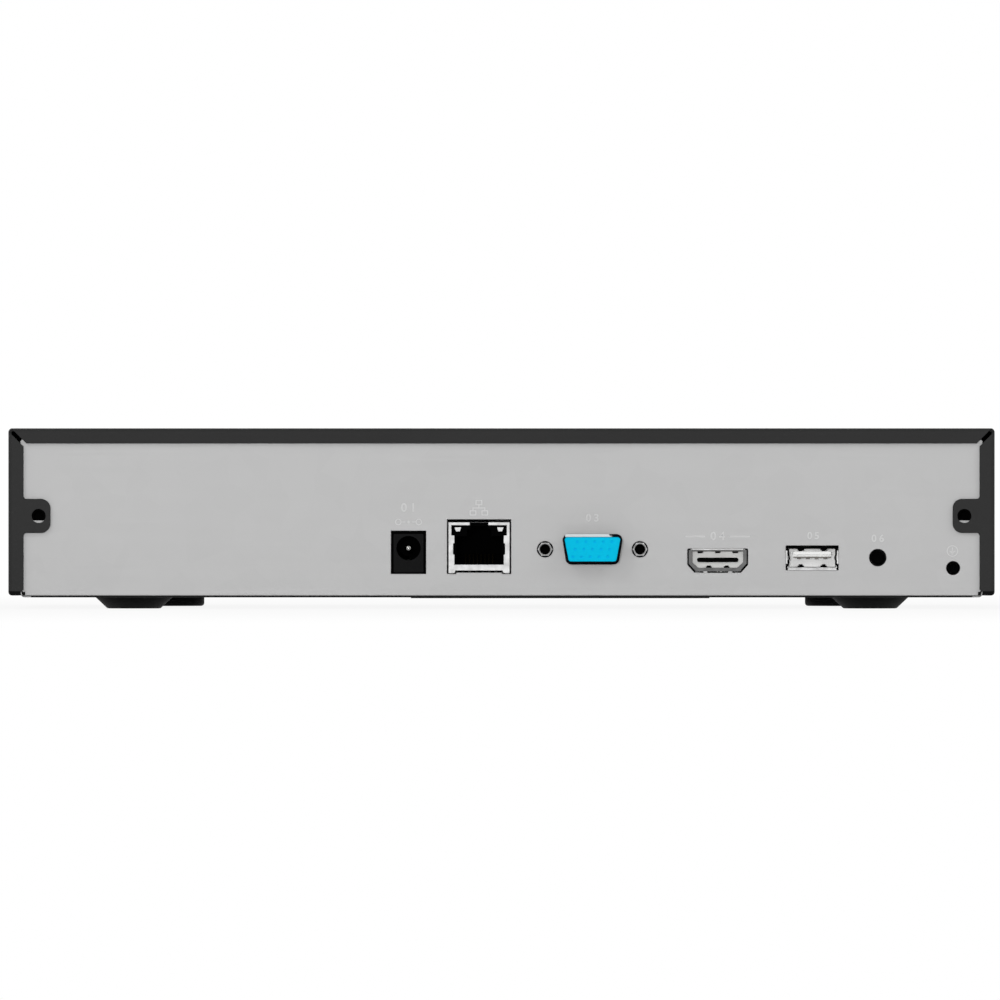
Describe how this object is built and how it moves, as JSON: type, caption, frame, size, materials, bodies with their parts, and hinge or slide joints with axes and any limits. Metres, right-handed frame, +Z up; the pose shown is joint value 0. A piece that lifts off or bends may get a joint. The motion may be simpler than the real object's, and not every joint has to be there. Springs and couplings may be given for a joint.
{
  "type": "network video recorder",
  "caption": "Compact desktop network video recorder: folded steel case with a lift-off cover, moulded front bezel, rear socket panel, main board and hard disk inside.",
  "frame": {"origin": "on the table, under the middle of the recorder's bounding box", "axes": "+X to the right seen from the front (longest side), +Y from the front bezel to the rear panel, +Z up"},
  "size_m": [0.26, 0.225, 0.0476],
  "materials": {
    "cover_paint": "fine textured powder coat",
    "chassis_steel": "galvanised sheet, matt",
    "foot_rubber": "matt",
    "bezel_plastic": "gloss",
    "light_guide": "clear, polished",
    "black_screw": "black zinc",
    "bright_screw": "bright zinc",
    "circuit_board": "solder mask, semi gloss",
    "led_body": "diffuse",
    "plated_shell": "bright tin plate",
    "white_tongue": "matt",
    "cream_header": "matt",
    "brass": "machined",
    "black_plastic": "matt",
    "nickel": "nickel plate",
    "gold_plate": "gold plate",
    "blue_insert": "matt",
    "chip_resin": "moulded resin, matt",
    "thermal_pad": "matt",
    "black_anodised": "black anodised",
    "pin_nylon": "matt",
    "ferrite": "matt",
    "can_aluminium": "drawn can",
    "cable_jacket": "flexible sleeve, satin",
    "ribbon_grey": "flat ribbon, satin",
    "plug_plastic": "matt",
    "cast_aluminium": "cast, bead blasted",
    "lid_steel": "satin",
    "platter_mirror": "polished",
    "arm_aluminium": "machined",
    "magnet_steel": "nickel plate, satin"
  },
  "bodies": {
    "case": {"base_chassis": "chassis_steel", "rear_feet": "foot_rubber", "front_feet": "foot_rubber", "front_bezel": "bezel_plastic", "light_pipes": "light_guide", "bezel_screws": "black_screw", "front_board": "circuit_board", "front_board_screws": "bright_screw", "status_leds": "led_body", "front_usb_shell": "plated_shell", "front_usb_tongue": "white_tongue", "front_board_header": "cream_header", "main_board": "circuit_board", "board_standoffs": "brass", "board_screws": "bright_screw", "dc_jack_housing": "black_plastic", "dc_jack_pin": "nickel", "dc_jack_spring": "nickel", "network_jack_shell": "plated_shell", "network_jack_insert": "black_plastic", "network_jack_contacts": "gold_plate", "vga_shell": "plated_shell", "vga_insert": "blue_insert", "vga_jack_nuts": "nickel", "hdmi_shell": "plated_shell", "hdmi_tongue": "black_plastic", "rear_usb_shell": "plated_shell", "rear_usb_tongue": "white_tongue", "reset_switch": "black_plastic", "earth_nut": "nickel", "processor": "chip_resin", "thermal_pad": "thermal_pad", "heat_sink": "black_anodised", "heat_sink_pins": "pin_nylon", "memory_chips": "chip_resin", "network_transformer": "chip_resin", "regulators": "chip_resin", "inductors": "ferrite", "capacitors": "can_aluminium", "crystals": "plated_shell", "coin_cell": "nickel", "coin_cell_holder": "black_plastic", "buzzer": "black_plastic", "board_headers": "cream_header", "disk_data_cable": "cable_jacket", "disk_power_cable": "cable_jacket", "front_cable": "ribbon_grey", "cable_plugs": "plug_plastic", "disk_housing": "cast_aluminium", "disk_lid": "lid_steel", "disk_board": "circuit_board", "disk_socket": "black_plastic", "arm_magnet": "magnet_steel", "disk_screws": "bright_screw"},
    "cover": {"top_cover": "cover_paint"},
    "reset_plunger": {"reset_button": "black_plastic"},
    "platters": {"platter_stack": "platter_mirror"},
    "actuator": {"head_arm": "arm_aluminium"}
  },
  "joints": [
    {"name": "cover_lift", "type": "slide", "parent": "case", "child": "cover", "axis": [0, 0, 1], "range_m": [0, 0.06]},
    {"name": "reset_press", "type": "slide", "parent": "case", "child": "reset_plunger", "axis": [0, -1, 0], "range_m": [0, 0.0004], "stiffness_N_per_m": 4000},
    {"name": "platter_spin", "type": "hinge", "parent": "case", "child": "platters", "pos_m": [0.0705, -0.0432, 0.02], "axis": [0, 0, 1], "continuous": true},
    {"name": "arm_swing", "type": "hinge", "parent": "case", "child": "actuator", "pos_m": [0.0135, -0.066, 0.02], "axis": [0, 0, 1], "range_deg": [-28, 0]}
  ]
}
